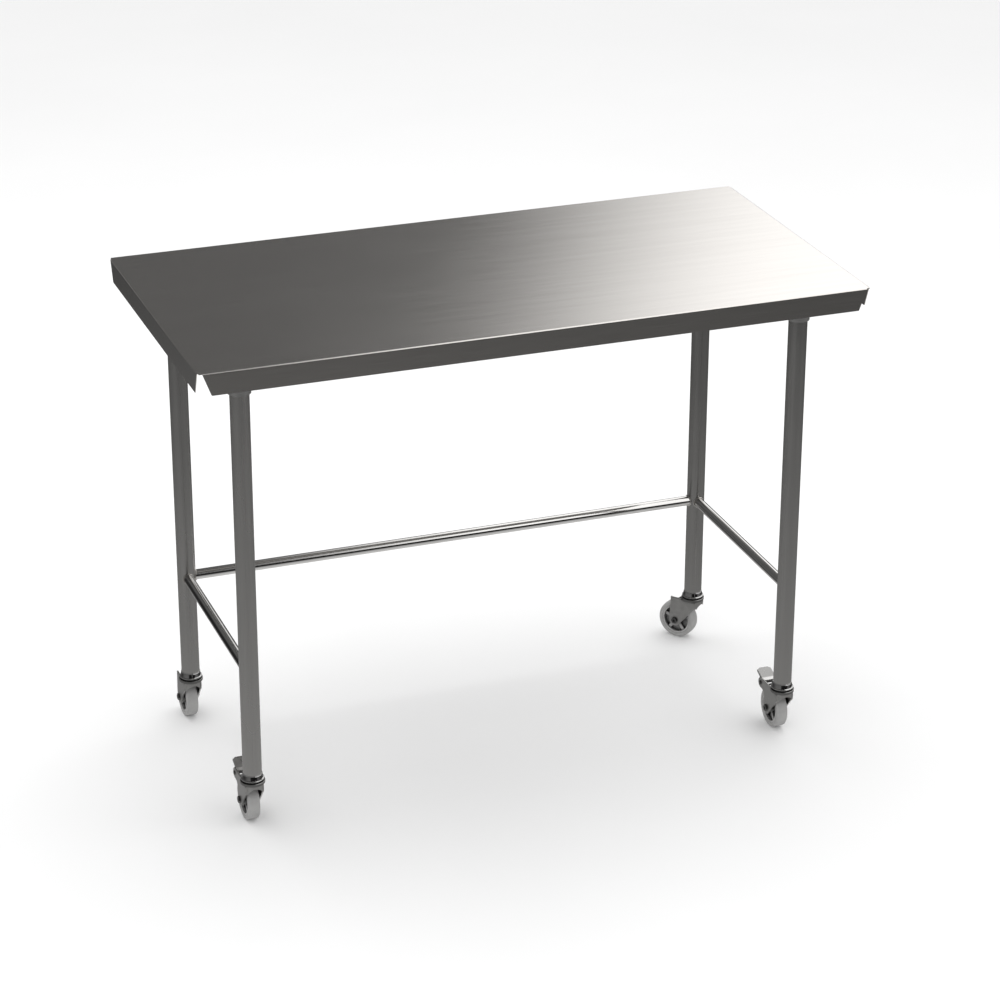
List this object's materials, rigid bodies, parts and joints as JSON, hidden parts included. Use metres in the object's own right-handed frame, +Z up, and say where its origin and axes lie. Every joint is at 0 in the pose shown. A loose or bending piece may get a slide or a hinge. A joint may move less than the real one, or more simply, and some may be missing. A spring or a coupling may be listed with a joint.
{
  "type": "stainless work table",
  "caption": "Free-standing stainless work table: folded sheet top, round tube legs, low rails on three sides with an open front, and swivel castors with foot brakes at the front.",
  "frame": {"origin": "on the floor, under the middle of the top", "axes": "+X to the right along the front edge, +Y to the rear, +Z up"},
  "size_m": [1.2, 0.6, 0.895],
  "materials": {
    "sheet_steel": "number four brushed, long grain along the top",
    "channel_steel": "mill finish, unpolished",
    "leg_steel": "satin polished tube",
    "rail_steel": "bright polished tube",
    "castor_chrome": "bright",
    "fork_steel": "pressed and tumbled, satin",
    "pedal_steel": "pressed, satin",
    "dark_steel": "dark plated",
    "expander_rubber": "matt",
    "tyre_rubber": "matt light grey",
    "hub_plastic": "fine moulded texture"
  },
  "bodies": {
    "table": {"worktop": "sheet_steel", "channel_left": "channel_steel", "channel_right": "channel_steel", "channel_centre": "channel_steel", "socket_screws": "dark_steel", "rail_rear": "rail_steel", "rail_left": "rail_steel", "rail_right": "rail_steel", "leg_front_left": "leg_steel", "leg_front_right": "leg_steel", "leg_rear_left": "leg_steel", "leg_rear_right": "leg_steel", "leg_socket_front_left": "channel_steel", "leg_socket_front_right": "channel_steel", "leg_socket_rear_left": "channel_steel", "leg_socket_rear_right": "channel_steel", "castor_front_left_cup": "castor_chrome", "castor_front_left_expander": "expander_rubber", "castor_front_left_stem": "castor_chrome", "castor_front_right_cup": "castor_chrome", "castor_front_right_expander": "expander_rubber", "castor_front_right_stem": "castor_chrome", "castor_rear_left_cup": "castor_chrome", "castor_rear_left_expander": "expander_rubber", "castor_rear_left_stem": "castor_chrome", "castor_rear_right_cup": "castor_chrome", "castor_rear_right_expander": "expander_rubber", "castor_rear_right_stem": "castor_chrome"},
    "swivel_front_left": {"castor_front_left_fork": "fork_steel", "castor_front_left_bearing": "castor_chrome", "castor_front_left_axle": "dark_steel", "castor_front_left_nut": "castor_chrome", "castor_front_left_sleeve": "castor_chrome", "brake_front_left_pin": "dark_steel"},
    "wheel_front_left": {"castor_front_left_tyre": "tyre_rubber", "castor_front_left_hub": "hub_plastic"},
    "brake_front_left": {"brake_front_left_pedal": "pedal_steel"},
    "swivel_front_right": {"castor_front_right_fork": "fork_steel", "castor_front_right_bearing": "castor_chrome", "castor_front_right_axle": "dark_steel", "castor_front_right_nut": "castor_chrome", "castor_front_right_sleeve": "castor_chrome", "brake_front_right_pin": "dark_steel"},
    "wheel_front_right": {"castor_front_right_tyre": "tyre_rubber", "castor_front_right_hub": "hub_plastic"},
    "brake_front_right": {"brake_front_right_pedal": "pedal_steel"},
    "swivel_rear_left": {"castor_rear_left_fork": "fork_steel", "castor_rear_left_bearing": "castor_chrome", "castor_rear_left_axle": "dark_steel", "castor_rear_left_nut": "castor_chrome", "castor_rear_left_sleeve": "castor_chrome"},
    "wheel_rear_left": {"castor_rear_left_tyre": "tyre_rubber", "castor_rear_left_hub": "hub_plastic"},
    "swivel_rear_right": {"castor_rear_right_fork": "fork_steel", "castor_rear_right_bearing": "castor_chrome", "castor_rear_right_axle": "dark_steel", "castor_rear_right_nut": "castor_chrome", "castor_rear_right_sleeve": "castor_chrome"},
    "wheel_rear_right": {"castor_rear_right_tyre": "tyre_rubber", "castor_rear_right_hub": "hub_plastic"}
  },
  "joints": [
    {"name": "swivel_front_left", "type": "hinge", "parent": "table", "child": "swivel_front_left", "pos_m": [-0.5075, -0.2075, 0.09], "axis": [0, 0, 1], "continuous": true},
    {"name": "roll_front_left", "type": "hinge", "parent": "swivel_front_left", "child": "wheel_front_left", "pos_m": [-0.5075, -0.1775, 0.0375], "axis": [-1, 0, 0], "continuous": true},
    {"name": "brake_front_left", "type": "hinge", "parent": "swivel_front_left", "child": "brake_front_left", "pos_m": [-0.5075, -0.1495, 0.0765], "axis": [-1, 0, 0], "range_deg": [0, 20]},
    {"name": "swivel_front_right", "type": "hinge", "parent": "table", "child": "swivel_front_right", "pos_m": [0.5075, -0.2075, 0.09], "axis": [0, 0, 1], "continuous": true},
    {"name": "roll_front_right", "type": "hinge", "parent": "swivel_front_right", "child": "wheel_front_right", "pos_m": [0.5075, -0.1775, 0.0375], "axis": [-1, 0, 0], "continuous": true},
    {"name": "brake_front_right", "type": "hinge", "parent": "swivel_front_right", "child": "brake_front_right", "pos_m": [0.5075, -0.1495, 0.0765], "axis": [-1, 0, 0], "range_deg": [0, 20]},
    {"name": "swivel_rear_left", "type": "hinge", "parent": "table", "child": "swivel_rear_left", "pos_m": [-0.5075, 0.2075, 0.09], "axis": [0, 0, 1], "continuous": true},
    {"name": "roll_rear_left", "type": "hinge", "parent": "swivel_rear_left", "child": "wheel_rear_left", "pos_m": [-0.5075, 0.2375, 0.0375], "axis": [-1, 0, 0], "continuous": true},
    {"name": "swivel_rear_right", "type": "hinge", "parent": "table", "child": "swivel_rear_right", "pos_m": [0.5075, 0.2075, 0.09], "axis": [0, 0, 1], "continuous": true},
    {"name": "roll_rear_right", "type": "hinge", "parent": "swivel_rear_right", "child": "wheel_rear_right", "pos_m": [0.48862, 0.23081, 0.0375], "axis": [-0.7771, -0.6293, 0], "continuous": true}
  ]
}
